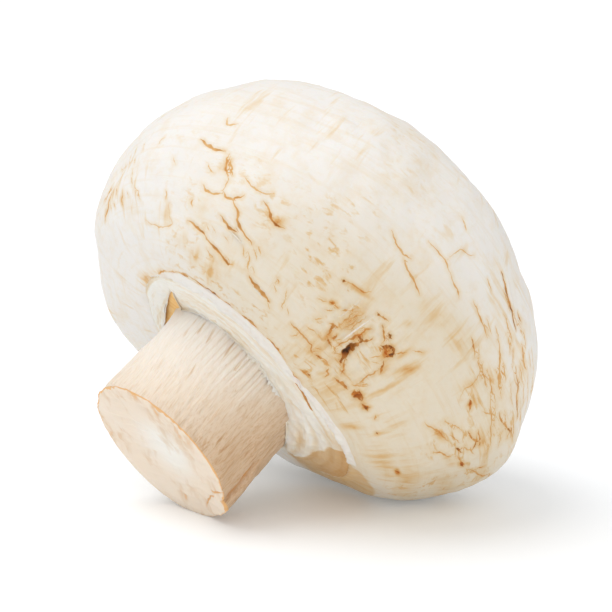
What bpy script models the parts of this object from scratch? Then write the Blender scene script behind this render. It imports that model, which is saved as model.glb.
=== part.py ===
"""A white button mushroom, picked, with its stem cut short, lying on its side.

Units are metres. The pieces are turned about the mushroom's own axis, which is Z: the crown is up, the cut stem is
down, and Z is 0 where the cap is widest. They are then bent a little, because a mushroom isn't quite round. A bearing
is an angle round that axis: 0 is the side that ends up on the table, 90 the +Y side, 180 the upper side and 270 the
-Y side. Last, the empty called mushroom lays the pieces down so that they rest on the table at Z = 0.
"""

import math

import bmesh
import bpy

# How the mushroom lies
LEAN_OVER = math.radians(50)  # of the axis from upright, towards +X
GIRTH_CENTRE = (0, -0.0005, 0.0209)  # where the axis crosses the cap's widest section

# Cap
CAP_RADIUS = 0.025
CROWN_HEIGHT = 0.0178  # from the widest section to the crown
CROWN_FULLNESS = 0.96  # exponent of the dome's superellipse: 1 is an ellipse, less is squarer
ROLL_DEPTH = 0.0105  # from the widest section down to the margin
ROLL_SWING = 0.0041  # the margin hangs this much lower on one side
ROLL_SWING_BEARING = math.radians(268)
GIRTH_LEAN = 0.0028  # the widest section leans this much towards the stem on one side
GIRTH_LEAN_BEARING = math.radians(75)
CAP_LOBES = ((2, 0.018, math.radians(90)), (3, 0.049, math.radians(77)), (4, 0.011, math.radians(70)))
FAR_TRIM = 0.045  # share by which the +Y side is trimmed back, which keeps it round
FAR_TRIM_BEARING = math.radians(77)
FAR_TRIM_SPREAD = math.radians(38)
MARGIN_RADIUS = 0.014
LIP = 0.0006  # bevel inside the margin's edge
WALL_LEAN = 0.0010  # the inside of the rolled rim leans in this much up to the hollow's ceiling
CEILING = -0.0052  # height of the flat flesh that the stem grows from

# Stem
STEM_ROOT = -0.0055
STEM_CUT = -0.0216
STEM_ROOT_RADIUS = 0.0092
STEM_WAIST_RADIUS = 0.0087
STEM_CUT_RADIUS = 0.0086
STEM_BEND = 0.0031  # the cut's centre is off the axis by this much, towards the +Y side
CUT_SLANT = math.radians(8.5)
CUT_SLANT_BEARING = math.radians(160)  # the stem is shortest here
CUT_EDGE = 0.0003  # bevel of the cut's edge
HEEL_HEIGHT = 0.0002  # slight thickening at the cut, on the lower side
HEEL_BEARING = math.radians(352)
HEEL_SPREAD = math.radians(26)

# Veil
VEIL_THICKNESS = 0.0008
VEIL_HEIGHT = -0.0117  # of its inner edge, beside the stem
VEIL_SWING = 0.0022  # it hangs this much lower on one side
VEIL_SWING_BEARING = math.radians(318)
VEIL_DEPTH = 0.0014  # how far inside the margin it is attached, on average
VEIL_DEPTH_SWING = 0.0011
VEIL_DEPTH_BEARING = math.radians(330)
TEAR_WIDTH = 0.0021  # where it has torn away from the stem
TEAR_BEARING = math.radians(152)
TEAR_SPREAD = math.radians(26)

GAP = 0.0003  # between neighbouring pieces
SEGMENTS = 72  # round the axis
DOME_RINGS = 13
ROLL_RINGS = 8


def bump(bearing, centre, spread):
    """1 at the centre bearing, falling smoothly to 0 over about twice the spread on each side."""
    apart = math.remainder(bearing - centre, 2 * math.pi)
    return math.exp(-((apart / spread) ** 2))


def at(radius, bearing, height):
    return (radius * math.cos(bearing), radius * math.sin(bearing), height)


def cap_lobe(bearing):
    """The share by which the cap's radius grows at a bearing."""
    lobes = sum(depth * math.cos(count * (bearing - toward)) for count, depth, toward in CAP_LOBES)
    return 1 + lobes - FAR_TRIM * bump(bearing, FAR_TRIM_BEARING, FAR_TRIM_SPREAD)


def girth_lean(radius, bearing):
    return -GIRTH_LEAN * radius / CAP_RADIUS * math.cos(bearing - GIRTH_LEAN_BEARING)


def roll_growth(bearing):
    """How much lower than average the margin hangs at a bearing."""
    return ROLL_SWING * math.cos(bearing - ROLL_SWING_BEARING)


def margin_height(bearing):
    return girth_lean(MARGIN_RADIUS, bearing) - ROLL_DEPTH - roll_growth(bearing)


def wall_radius(height, bearing):
    """The inside of the rolled rim: straight from the bevelled margin up to the hollow's ceiling."""
    foot = margin_height(bearing) + LIP
    share = (height - foot) / (CEILING - foot)
    return (MARGIN_RADIUS - LIP - WALL_LEAN * share) * cap_lobe(bearing)


def stem_share(height):
    """0 at the root and 1 at the cut."""
    return min(max((height - STEM_ROOT) / (STEM_CUT - STEM_ROOT), 0), 1)


def stem_radius(height):
    """Widest at the root and slightly waisted."""
    share = stem_share(height)
    straight = STEM_ROOT_RADIUS + (STEM_CUT_RADIUS - STEM_ROOT_RADIUS) * share
    middle = (STEM_ROOT_RADIUS + STEM_CUT_RADIUS) / 2
    return straight - (middle - STEM_WAIST_RADIUS) * math.sin(math.pi * share)


def bent_dome(radius, bearing, height):
    """The cap's outside: above the widest section it only leans, below it the rolled rim deepens on one side."""
    deeper = roll_growth(bearing) * max(-height, 0) / ROLL_DEPTH
    return at(radius * cap_lobe(bearing), bearing, height - deeper + girth_lean(radius, bearing))


def bent_hollow(radius, bearing, height):
    """The hollow under the cap: its wall runs from a flat ceiling to the bent margin."""
    share = (height - CEILING) / (-ROLL_DEPTH - CEILING)
    bent = CEILING + (margin_height(bearing) - CEILING) * share
    return at(radius * cap_lobe(bearing), bearing, bent)


def bent_stem(radius, bearing, height):
    """The stem's side bends towards +Y, its cut slants, and a heel thickens its lower edge."""
    share = stem_share(height)
    slant = radius * math.tan(CUT_SLANT) * math.cos(bearing - CUT_SLANT_BEARING)
    heel = HEEL_HEIGHT * radius / STEM_CUT_RADIUS * bump(bearing, HEEL_BEARING, HEEL_SPREAD) * share**3
    x, y, z = at(radius + heel, bearing, height + slant * share)
    return (x, y + STEM_BEND * share, z)


def bent_veil(across, bearing, over):
    """The veil spans from inside the margin (across 1) to the stem (across 2), and is torn open on one side."""
    depth = VEIL_DEPTH + VEIL_DEPTH_SWING * math.cos(bearing - VEIL_DEPTH_BEARING)
    outer = margin_height(bearing) + depth
    inner = VEIL_HEIGHT - VEIL_SWING * math.cos(bearing - VEIL_SWING_BEARING)
    height = outer + (inner - outer) * (across - 1) + over
    rim = wall_radius(height, bearing) - GAP
    beside = stem_radius(inner) + STEM_BEND * stem_share(inner) * math.sin(bearing) + GAP
    opened = beside + TEAR_WIDTH * bump(bearing, TEAR_BEARING, TEAR_SPREAD)
    return at(rim + (opened - rim) * (across - 1), bearing, height)


def turn(bm, profile, bend):
    """Turns a profile of (radius, height) pairs about Z, then moves each point to where the bend puts it."""
    before = set(bm.verts)
    line = [bm.verts.new((radius, 0, height)) for radius, height in profile]
    edges = [bm.edges.new(pair) for pair in zip(line, line[1:])]
    bmesh.ops.spin(
        bm, geom=line + edges, angle=2 * math.pi, steps=SEGMENTS, axis=(0, 0, 1), cent=(0, 0, 0), use_merge=True
    )
    turned = [vert for vert in bm.verts if vert not in before]
    for vert in turned:
        x, y, height = vert.co
        vert.co = bend(math.hypot(x, y), math.atan2(y, x), height)


def finished(name, bm, look, parent):
    """The object made from a bmesh, closed, facing outwards and shaded smooth."""
    bmesh.ops.remove_doubles(bm, verts=bm.verts, dist=0.000005)
    bmesh.ops.recalc_face_normals(bm, faces=bm.faces)
    mesh = bpy.data.meshes.new(name)
    bm.to_mesh(mesh)
    bm.free()
    mesh.shade_smooth()
    mesh.set_sharp_from_angle(angle=math.radians(35))
    mesh.materials.append(look)
    made = bpy.data.objects.new(name, mesh)
    made.parent = parent
    bpy.context.scene.collection.objects.link(made)
    return made


def material(name, colour, roughness):
    made = bpy.data.materials.new(name)
    made.use_nodes = True
    shader = made.node_tree.nodes["Principled BSDF"]
    shader.inputs["Base Color"].default_value = (*colour, 1)
    shader.inputs["Roughness"].default_value = roughness
    shader.inputs["Metallic"].default_value = 0
    return made


def dome_profile():
    """From the crown, over the dome and round the rolled rim to the margin."""
    points = [(0, CROWN_HEIGHT)]
    for i in range(1, DOME_RINGS + 1):
        rise = math.pi / 2 * (1 - i / DOME_RINGS)
        radius = CAP_RADIUS * math.cos(rise) ** CROWN_FULLNESS
        points.append((radius, CROWN_HEIGHT * math.sin(rise) ** CROWN_FULLNESS))
    for i in range(1, ROLL_RINGS + 1):
        turned = math.pi / 2 * i / ROLL_RINGS
        radius = MARGIN_RADIUS + (CAP_RADIUS - MARGIN_RADIUS) * math.cos(turned)
        points.append((radius, -ROLL_DEPTH * math.sin(turned)))
    return points


def hollow_profile():
    """From the margin, up the inside of the rolled rim and across the hollow's ceiling to the axis."""
    foot = MARGIN_RADIUS - LIP
    middle = ((-ROLL_DEPTH + LIP) + CEILING) / 2
    return [
        (MARGIN_RADIUS, -ROLL_DEPTH),
        (foot, -ROLL_DEPTH + LIP),
        (foot - WALL_LEAN / 2, middle),
        (foot - WALL_LEAN, CEILING),
        (0, CEILING),
    ]


def stem_profile():
    """From the middle of the root, down the side and across the cut to its middle."""
    points = [(0, STEM_ROOT)]
    for share in (0, 0.12, 0.3, 0.5, 0.7, 0.88, 1):
        height = STEM_ROOT + (STEM_CUT + CUT_EDGE - STEM_ROOT) * share
        points.append((stem_radius(height), height))
    points.append((STEM_CUT_RADIUS - CUT_EDGE, STEM_CUT))
    points.append((STEM_CUT_RADIUS / 2, STEM_CUT))
    points.append((0, STEM_CUT))
    return points


def veil_profile():
    """A closed strip, 1 wide and as tall as the veil is thick, which the bend then stretches to fit."""
    low = 0
    high = VEIL_THICKNESS
    return [(1, low), (1.5, low), (2, low), (2, high), (1.5, high), (1, high), (1, low)]


def make_cap(parent):
    bm = bmesh.new()
    turn(bm, dome_profile(), bent_dome)
    turn(bm, hollow_profile(), bent_hollow)
    return finished("cap", bm, material("cap_skin", (0.86, 0.80, 0.70), 0.6), parent)


def make_stem(parent):
    bm = bmesh.new()
    turn(bm, stem_profile(), bent_stem)
    return finished("stem", bm, material("stem_flesh", (0.83, 0.70, 0.55), 0.65), parent)


def make_veil(parent):
    bm = bmesh.new()
    turn(bm, veil_profile(), bent_veil)
    return finished("veil", bm, material("veil_membrane", (0.88, 0.82, 0.71), 0.6), parent)


def make_ground():
    """A block below the table's surface, which flattens what presses on it. It isn't a piece of the mushroom."""
    thick = 4 * CAP_RADIUS
    bpy.ops.mesh.primitive_cube_add(size=thick, location=(0, 0, -thick / 2))
    block = bpy.context.active_object
    block.name = "ground_cutter"
    block.hide_render = True
    block.display_type = "WIRE"
    return block


def rest_on(piece, block):
    """Flattens a piece where its soft flesh presses on the table."""
    flat = piece.modifiers.new("resting_flat", "BOOLEAN")
    flat.operation = "DIFFERENCE"
    flat.solver = "EXACT"
    flat.object = block


def main():
    for old in list(bpy.data.objects):
        bpy.data.objects.remove(old)
    mushroom = bpy.data.objects.new("mushroom", None)
    bpy.context.scene.collection.objects.link(mushroom)
    mushroom.location = GIRTH_CENTRE
    mushroom.rotation_euler = (0, LEAN_OVER, 0)
    cap = make_cap(mushroom)
    stem = make_stem(mushroom)
    make_veil(mushroom)
    block = make_ground()
    rest_on(cap, block)
    rest_on(stem, block)


main()
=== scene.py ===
"""The looks of a cultivated button mushroom, lying on its side on a pale table."""

import math

import bpy
import numpy as np
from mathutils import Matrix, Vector


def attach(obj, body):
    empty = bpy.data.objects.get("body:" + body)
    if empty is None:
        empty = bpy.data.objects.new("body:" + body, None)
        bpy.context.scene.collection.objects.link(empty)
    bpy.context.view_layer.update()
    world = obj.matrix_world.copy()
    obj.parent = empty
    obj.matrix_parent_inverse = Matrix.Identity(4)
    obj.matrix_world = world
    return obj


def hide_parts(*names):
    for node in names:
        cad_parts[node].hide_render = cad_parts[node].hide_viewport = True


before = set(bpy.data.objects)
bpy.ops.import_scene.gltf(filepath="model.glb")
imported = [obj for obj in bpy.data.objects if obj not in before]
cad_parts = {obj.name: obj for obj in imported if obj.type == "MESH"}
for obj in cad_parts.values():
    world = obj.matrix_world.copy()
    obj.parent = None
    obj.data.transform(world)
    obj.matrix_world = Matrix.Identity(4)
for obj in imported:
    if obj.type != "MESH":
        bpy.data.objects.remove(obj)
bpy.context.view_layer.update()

bl_info = {
    "name": "Button mushroom",
    "version": (1, 0, 0),
    "blender": (4, 5, 0),
    "location": "3D View > Sidebar > Mushroom",
    "description": "Makes the cap, stem, veil and stage of a button mushroom",
    "category": "Add Mesh",
}

MM = 0.001

# The mushroom's own axis: the crown is up it, the cut is down it. Bearings turn round it, from the table side (0)
# through the far side (90), the upper side (180) and the near side (270).
LEAN_OVER = math.radians(50)
GIRTH_CENTRE = np.array((0, -0.0005, 0.0209))

LOBES = ((2, 0.018, 90), (3, 0.049, 77), (4, 0.011, 70))  # count, depth and bearing
FAR_TRIM = (0.045, 77, 38)  # share, bearing and spread of the far side's trim, which keeps it round
CROWN_FULLNESS = 0.96  # exponent of the dome's superellipse
ROLL_SWING = (0.0041, 268)  # the margin hangs this much lower towards a bearing
GIRTH_LEAN = (0.0028, 75)  # the girth leans this much down towards a bearing
LIP = 0.0006  # height of the bevel inside the margin's edge
WALL_LEAN = 0.0010  # the rolled rim's inside leans in by this much up to the ceiling
CEILING = -0.0052  # height of the hollow's ceiling

STEM_ROOT = -0.0055
STEM_CUT = -0.0216
STEM_BEND = 0.0031  # how far the cut's middle is off the axis, to the far side
CUT_SLANT = (8.5, 160)  # in degrees, and the bearing where the stem is shortest
CUT_LIP = 0.0002  # the rounding of the cut's edge
CUT_REACH = 8.9 * MM  # the cut's radius where its cracks are laid out
HEEL = (0.0002, 352, 26)  # height, bearing and spread of the thickening at the cut
# Cracks in the cut's lower corner: (bearing, share of the way out from its middle).
CUT_CRACKS = (
    ((291, 1.0), (296, 0.90), (303, 0.80), (305, 0.77)),
    ((303, 0.80), (312, 0.76), (322, 0.77), (332, 0.81), (337, 0.87)),
)

VEIL_INNER = (-0.0107, 0.0016, 300)  # height of its inner edge, and how much lower that is towards a bearing
# The tear in the veil: for a few bearings, how far its free edge stands off the stem in mm, and by how many degrees
# that edge is pulled round.
TEAR = (
    (90, 0, 0),
    (107, 1.8, 0),
    (120, 1.0, 0),
    (133, 0.9, 0),
    (145, 1.2, 0),
    (157, 2.0, 0),
    (168, 3.0, 0),
    (176, 0, -20),
    (192, 0, 0),
)
TEAR_CURL = ((168, 14), (171, 6), (176, 3))  # how late across the veil that pull sets in, by bearing

# Where the veil has split beside the margin: (bearing, reach in hundredths), half the width and the depth in mm.
SLIT = ((247.5, 1.5), (251.5, 5.5), (255.5, 11.3), (260, 16.3), (264.5, 20.8), (268, 21.5))
SLIT_SIZE = (0.24, 0.16)
# How far from the margin the veil is painted tan, by bearing: partly the cap's underside colour, partly painted shade.
UNDERSIDE_TAN = ((292, 0), (295, 0.06), (299.5, 0.37), (307.5, 0.48), (314, 0.60), (329, 0.72), (350, 0.72), (372, 0))

# By bearing, the latitudes below which the skin pales beside the margin, and below which it takes the rim's inside
# colour: partly its own brown, partly painted shade.
SEAM = ((160, -89), (172, -86.5), (189, -81.5), (232, -81), (240, -83.5), (248, -86.5), (262, -84), (500, -84))
UNDERSIDE_BROWN_AND_SHADE = ((138, -95), (300, -95), (306, -84), (312, -80), (325, -70), (340, -62), (370, -60), (500, -60))

# Unevenness, as sums of ripples: height in mm, wavelength in mm, seed, and the squeeze that draws them out along the
# mushroom's own axis.
CAP_SWELLS = ((0.16, 16, 3, 1), (0.05, 5, 4, 1), (0.016, 1.6, 5, 1))
STEM_RIDGES = ((0.028, 0.9, 21, 0.12), (0.018, 0.45, 22, 0.25))
STEM_LUMPS = ((0.10, 6, 24, 1),)
VEIL_DRAPE = ((0.05, 1.5, 31, 0.3),)
VEIL_FOLDS = ((0.06, 6, 32, 1), (0.02, 0.8, 34, 1))

# Coarse strands round the upper stem: the radius that they are laid out on, their width and height in mm, the height on
# the axis where they fray out, how ragged and how soft that line is, and the bearing and spread where they are strong.
STRAND_RING = 8.3
STRAND_SIZE = (0.60, 0.15)
FRINGE = (-0.0146, 0.0010, 0.0018)
STRANDED = (236, 30)
# The groove beside the peeled strip at the cut: its bearing, how far that swings back, and half its width in mm.
PEEL = (302.5, 6.5, 0.24)
# The veil's pleats on the near side: height in mm, how closely they follow, and their middle and spread across it.
PLEATS = (0.10, 36, 0.52, 0.28)

# Columns round each piece, on the finest bearings and behind.
FRONT = (138, 336)
CAP_COLUMNS = (440, 60)
STEM_COLUMNS = (400, 110)
VEIL_COLUMNS = (470, 110)
BRUISE = (250, 16)  # bearing and spread of the bruised patch
CROWDED = (251, 14)  # the bearing and spread that the cap's columns crowd about

SLANT = (0, math.radians(-42), 0)  # how the strokes of handling lie on the skin
# How light spreads inside the flesh and inside the thin veil.
FLESH_GLOW = {"Subsurface_Weight": 0.10, "Subsurface_Scale": 0.0006, "Subsurface_Radius": (1.0, 0.62, 0.36)}
VEIL_GLOW = {"Subsurface_Weight": 0.15, "Subsurface_Scale": 0.0007, "Subsurface_Radius": (1.0, 0.65, 0.40)}

# Each lamp: how far it stands to the right, along the look and upwards, its share of the main light's brightness, and
# its spread in degrees.
LAMPS = (("key", (-0.65, -0.10, 1.4), 1, 42), ("front", (0.15, -0.8, 0.40), 0.48, 62))
LAMP_COLOUR = (1.0, 0.995, 0.99)
TABLE_REACH = 60  # half the table's side, in metres, so that its edge is never seen
TABLE_DROP = 0.00002  # the table is this far below the mushroom, so that they don't share a plane
TABLE_GLOW = (0.97, 0.985, 1.0, 1)
AIM = (0.001030, -0.000368)  # what the camera looks at: this far right of the girth's centre and above it, in metres

# Cracks in the cap's skin: half the width in mm, depth in mm, how dark it is, and the (bearing, latitude) points in
# degrees that it runs through. Latitude is 90 at the crown, 0 at the girth and -90 at the margin.
CRACKS = (
    # upper side, near the crown
    (0.09, 0.06, 0.29, ((192, 2), (193, 0), (195, 1))),
    (0.14, 0.10, 0.61, ((189, -11), (191, -13), (193, -14.5), (196, -14))),
    (0.08, 0.06, 0.53, ((197.5, -15), (198, -19), (199, -23), (200, -25))),
    (0.08, 0.06, 0.53, ((198.5, -17), (200, -21), (201, -24))),
    (0.04, 0.03, 0.37, ((200, -25), (200.5, -29), (201, -33))),
    (0.09, 0.05, 0.41, ((195, -33), (196, -35), (199, -35), (201, -33))),
    (0.10, 0.08, 0.61, ((201, -33), (202, -34.5), (204, -34), (206, -30.5))),
    (0.11, 0.09, 0.61, ((204, -34), (206, -37), (207, -40), (208, -43), (210, -45), (213, -47))),
    (0.11, 0.12, 0.74, ((203, -43), (204, -44.5), (206, -46), (208, -46))),
    (0.07, 0.05, 0.37, ((204, -23), (206, -25), (209, -26), (212, -24))),
    (0.10, 0.10, 0.78, ((211, -29), (213, -31), (214, -33), (216, -34.5), (218, -34))),
    (0.11, 0.10, 0.70, ((194, -51), (196, -52), (198, -53), (200, -54))),
    (0.09, 0.10, 0.70, ((200, -54), (202, -56.5), (205, -58), (209, -61), (210, -60))),
    (0.06, 0.05, 0.41, ((194, -23), (196, -26))),
    (0.07, 0.05, 0.49, ((193.5, -41), (194, -44))),
    (0.06, 0.05, 0.45, ((184, -40), (184.5, -44))),
    (0.04, 0.03, 0.29, ((184, -23), (185, -26))),
    (0.05, 0.04, 0.37, ((172, -39), (174, -45))),
    (0.06, 0.05, 0.45, ((164, -38), (164, -46))),
    (0.05, 0.03, 0.25, ((176, -56), (179, -58), (182, -59), (186, -57), (188, -55), (186, -46))),
    (0.12, 0.10, 0.57, ((153, -30), (151.5, -36), (150, -41), (146, -45))),
    (0.06, 0.04, 0.45, ((150.5, -22), (149, -27), (147, -33))),
    (0.08, 0.05, 0.49, ((152, -26), (149, -28), (146, -30))),
    (0.07, 0.04, 0.41, ((158, -22), (160, -27))),
    (0.06, 0.04, 0.45, ((164, -9), (165, -13))),
    (0.06, 0.04, 0.25, ((213, -51), (214, -55), (215, -58))),
    (0.17, 0.22, 0.66, ((216, -60.5), (218, -62), (220, -63), (222, -63.5), (224, -64))),
    (0.06, 0.05, 0.49, ((223, -53), (224, -54.5))),
    (0.04, 0.03, 0.25, ((177, -15), (178, -11))),
    # the bruised patch
    (0.27, 0.40, 1.00, ((251.5, -61), (250.7, -58), (250, -55.2), (250, -53.2), (250.2, -51.2), (250.3, -49.5))),
    (0.10, 0.15, 0.80, ((250.2, -50), (250.5, -47.8), (251.2, -46), (251.8, -44))),
    (0.09, 0.10, 0.80, ((248.6, -47.3), (249.8, -47.8), (250.5, -48))),
    (0.08, 0.08, 0.55, ((246.8, -58), (247.2, -54.8), (247.8, -51.5), (248.2, -48.5), (249, -44.5), (250, -41.8))),
    (0.07, 0.08, 0.60, ((251.5, -58.5), (253, -61.2), (254.5, -64.2))),
    (0.12, 0.12, 0.68, ((241.2, -52.5), (242, -52), (242.2, -53.5), (242.5, -55), (242.8, -56.5))),
    (0.07, 0.06, 0.55, ((241.5, -51.8), (242.8, -51.8), (243.2, -51))),
    (0.10, 0.10, 0.62, ((244.5, -54), (244.8, -55.8), (244.2, -56.4))),
    (0.10, 0.10, 0.66, ((243.5, -58), (244.8, -59), (245.8, -59.2))),
    (0.06, 0.06, 0.50, ((246.2, -58.5), (247.8, -59.2))),
    (0.14, 0.08, 0.62, ((237.5, -45.8), (238.2, -45.2))),
    (0.06, 0.04, 0.35, ((238.2, -45.6), (239.8, -45.5))),
    (0.08, 0.07, 0.55, ((233, -65), (234.2, -65.5), (236.2, -65.5), (239, -65.6), (241.8, -65.5), (243.5, -68.2))),
    (0.10, 0.09, 0.68, ((245, -67.8), (246, -67.2), (247, -66.2))),
    (0.05, 0.05, 0.40, ((247, -66.2), (249.2, -65.8))),
    (0.07, 0.06, 0.60, ((250.8, -67.5), (251.2, -69), (252.5, -69.8), (252.5, -72))),
    (0.13, 0.12, 0.90, ((248.9, -78.2), (249.5, -78.2))),
    (0.14, 0.14, 0.72, ((254.8, -68), (256.5, -68.2), (258.2, -67), (260, -67))),
    (0.30, 0.28, 0.78, ((261.8, -64.6), (263.4, -65), (265.2, -65))),
    (0.08, 0.12, 0.95, ((262.4, -62.6), (264.4, -63.2), (266, -64.6))),
    (0.12, 0.12, 0.72, ((267, -65.5), (268.5, -64.8), (269, -63.4))),
    (0.13, 0.16, 0.95, ((269, -64.2), (270, -64.9))),
    (0.08, 0.06, 0.60, ((272.8, -63), (274.2, -64.2))),
    (0.09, 0.06, 0.90, ((279.6, -67), (280.4, -67))),
    (0.11, 0.10, 0.90, ((248.2, -35.8), (249, -35.8))),
    (0.08, 0.06, 0.60, ((249, -35.8), (250, -35.2), (251, -34.8))),
    (0.07, 0.10, 0.78, ((251.2, -37.5), (252.5, -38.8), (253.5, -39.8), (254.2, -41.5))),
    (0.17, 0.18, 1.00, ((253.8, -37.8), (254.8, -38.4))),
    (0.14, 0.18, 1.00, ((255, -43), (255.8, -41.8), (256.5, -40.2))),
    (0.15, 0.18, 1.00, ((256.5, -40.2), (257.6, -40.4), (258.2, -40.8))),
    (0.17, 0.18, 1.00, ((258.2, -40.8), (258.3, -42), (258.2, -43), (258, -44.2))),
    (0.08, 0.10, 0.70, ((255, -42.8), (256.8, -43.5), (257.5, -43.5))),
    (0.07, 0.05, 0.40, ((259, -40.5), (260.2, -37.5))),
    (0.10, 0.12, 0.78, ((258.6, -46.4), (259.8, -49), (260.8, -50.2))),
    (0.06, 0.06, 0.50, ((254.5, -44.2), (255.8, -44.8))),
    (0.07, 0.07, 0.50, ((259.8, -61), (259.8, -58.2), (259.5, -55.5), (259.8, -53), (259.8, -50.5))),
    (0.10, 0.10, 1.00, ((236.1, -36), (236.8, -35.8))),
    (0.06, 0.05, 0.40, ((237.2, -35.5), (238.2, -34.8), (240.2, -34.5), (242, -34), (243, -32))),
    (0.05, 0.04, 0.35, ((237, -60.8), (238.5, -60.5), (239.8, -60))),
    (0.04, 0.05, 0.32, ((243.8, -47.8), (244.2, -44.2), (245.5, -39.8))),
    (0.04, 0.05, 0.32, ((245.5, -49.5), (246, -44.8), (246.5, -40))),
    (0.04, 0.05, 0.28, ((243, -50), (243.4, -46), (244, -41))),
    (0.04, 0.05, 0.28, ((244.6, -50.5), (245, -47), (245.2, -43))),
    # the groove between the cap and the veil
    (0.05, 0.07, 0.30, ((172, -86.5), (181, -84), (189, -81.5), (203, -81.5), (220, -81), (232, -81), (240, -83.5))),
    (0.09, 0.06, 0.62, ((171, -87), (174, -86), (178, -85))),
    (0.10, 0.06, 0.66, ((181, -84), (185, -82.8))),
    (0.12, 0.07, 0.72, ((188, -81.6), (193, -81.2))),
    (0.19, 0.10, 0.80, ((198, -81), (203, -81.8), (208, -82))),
    (0.12, 0.08, 0.76, ((210, -82), (214, -81.6))),
    (0.12, 0.06, 0.68, ((217, -81.5), (222, -80.4), (225, -80.6))),
    (0.10, 0.06, 0.66, ((230, -81), (234, -81.6), (237, -82.4))),
    (0.12, 0.10, 0.75, ((246, -86), (250, -88), (253, -89.4))),
    # near side
    (0.08, 0.04, 0.50, ((238, -9), (241, -12), (243, -13), (245, -12))),
    (0.09, 0.05, 0.50, ((244, -14), (246, -16), (249, -17), (252, -19))),
    (0.06, 0.03, 0.40, ((246, -2), (249, -2), (251, -2.5), (253, -4), (255, -5))),
    (0.07, 0.04, 0.45, ((255, -5), (258, -6.5), (260, -8))),
    (0.05, 0.02, 0.30, ((252, 0), (254, 5), (257, 7))),
    (0.08, 0.03, 0.30, ((250, 13), (252, 11))),
    (0.17, 0.14, 1.00, ((268, 14), (271, 13), (274, 11), (277, 9.5), (281, 6.5))),
    (0.09, 0.08, 0.80, ((280, 12.5), (282, 11.5))),
    (0.07, 0.04, 0.45, ((264, 6), (267, 5))),
    (0.07, 0.04, 0.50, ((264, -4), (268, -5), (271, -5.5), (274, -6.5))),
    (0.07, 0.05, 0.65, ((270, -13), (272, -14), (275, -15.5))),
    (0.09, 0.05, 0.45, ((277, -3), (281, -6), (285, -9), (288, -11))),
    (0.07, 0.04, 0.45, ((280, 2), (283, 0))),
    (0.09, 0.05, 0.50, ((285, 6), (288, 5), (292, 4))),
    (0.09, 0.08, 0.80, ((288, 0), (292, -1.5), (294, -5), (297, -7), (299, -8))),
    (0.14, 0.08, 0.80, ((284, -25), (285, -25.5), (286.5, -27))),
    (0.08, 0.08, 0.80, ((293, -16), (295, -16.5), (297, -15), (299, -14.5), (302, -13))),
    (0.05, 0.03, 0.22, ((278, -13), (280, -20), (282, -29))),
    (0.06, 0.04, 0.30, ((286, -15), (291, -19), (296, -22), (302, -26))),
    (0.09, 0.06, 0.75, ((292, -31), (294, -30.5), (296, -29), (298, -31))),
    (0.07, 0.05, 0.65, ((293, -27), (296, -27.5), (298, -28))),
    (0.08, 0.04, 0.36, ((282, -46), (285, -44), (288, -42), (292, -40))),
    (0.08, 0.05, 0.55, ((294, -47), (296, -43.5), (298, -41))),
    (0.11, 0.08, 0.95, ((296, -37.5), (298, -36))),
    (0.15, 0.08, 0.85, ((302, -37), (304, -36))),
    (0.08, 0.05, 0.65, ((307, -29), (307, -26.5))),
    (0.08, 0.05, 0.50, ((306, -34), (311, -27), (316, -20))),
    (0.06, 0.04, 0.80, ((300, -66), (302, -64))),
)

MARKED = 1.6  # how far a crack or ridge marks the skin about it, in mm
FAR_OFF = 2.0  # the distance in mm that stands for no crack near

# Fine scratches, strewn at random: how many, the (bearing, latitude) corners of their patch, how far each runs round
# and up in degrees, give or take a half, and how dark the darkest is.
SCRATCHES = (
    (34, ((270, -20), (300, 12)), (6.0, -2.2), 0.50),
    (10, ((284, -42), (306, -22)), (3.0, 1.8), 0.34),
    (20, ((152, -42), (172, -8)), (0.8, -3.6), 0.42),
    (16, ((198, -66), (232, -46)), (1.2, -2.6), 0.36),
    (18, ((234, -70), (262, -34)), (1.4, 2.4), 0.42),
)

# Raised lines beside torn skin: half the width in mm, height in mm, and their points.
RIDGES = (
    (0.10, 0.18, ((241.0, -50.5), (241.8, -45.5), (242.2, -41), (242.7, -35.5))),
    (0.11, 0.22, ((246.3, -55.5), (246.9, -49.2), (247.2, -44.5), (248.0, -36.8))),
    (0.09, 0.10, ((244.2, -51), (244.8, -46), (245.4, -39))),
    (0.14, 0.10, ((251, -66), (253, -68), (257, -67))),
)

# The island of skin between the torn ones: its middle, its half extents in degrees and how far it stands up in mm.
ISLAND = ((255.0, -54.0), (4.4, 10.0), 0.20)

# Broad swellings of the cap: their middle, their spread round and up it in degrees, and how far they stand out in mm.
LUMPS = (
    ((311, -17), 20, 20, 1.85),
    ((154, -18), 15, 14, -0.60),
    ((92, -42), 20, 20, 0.85),
    ((210, 32), 20, 14, 0.30),
    ((184, 13), 12, 12, 0.25),
)

# Torn fibres that lie on the skin: their two ends as (bearing, latitude), half the width and the rise in mm.
FIBRES = (
    ((206.5, -47), (210.5, -49), 0.10, 0.07),
    ((203, -60), (208, -63.5), 0.09, 0.05),
    ((223.5, -66), (217.5, -63.5), 0.13, 0.06),
)

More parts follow.
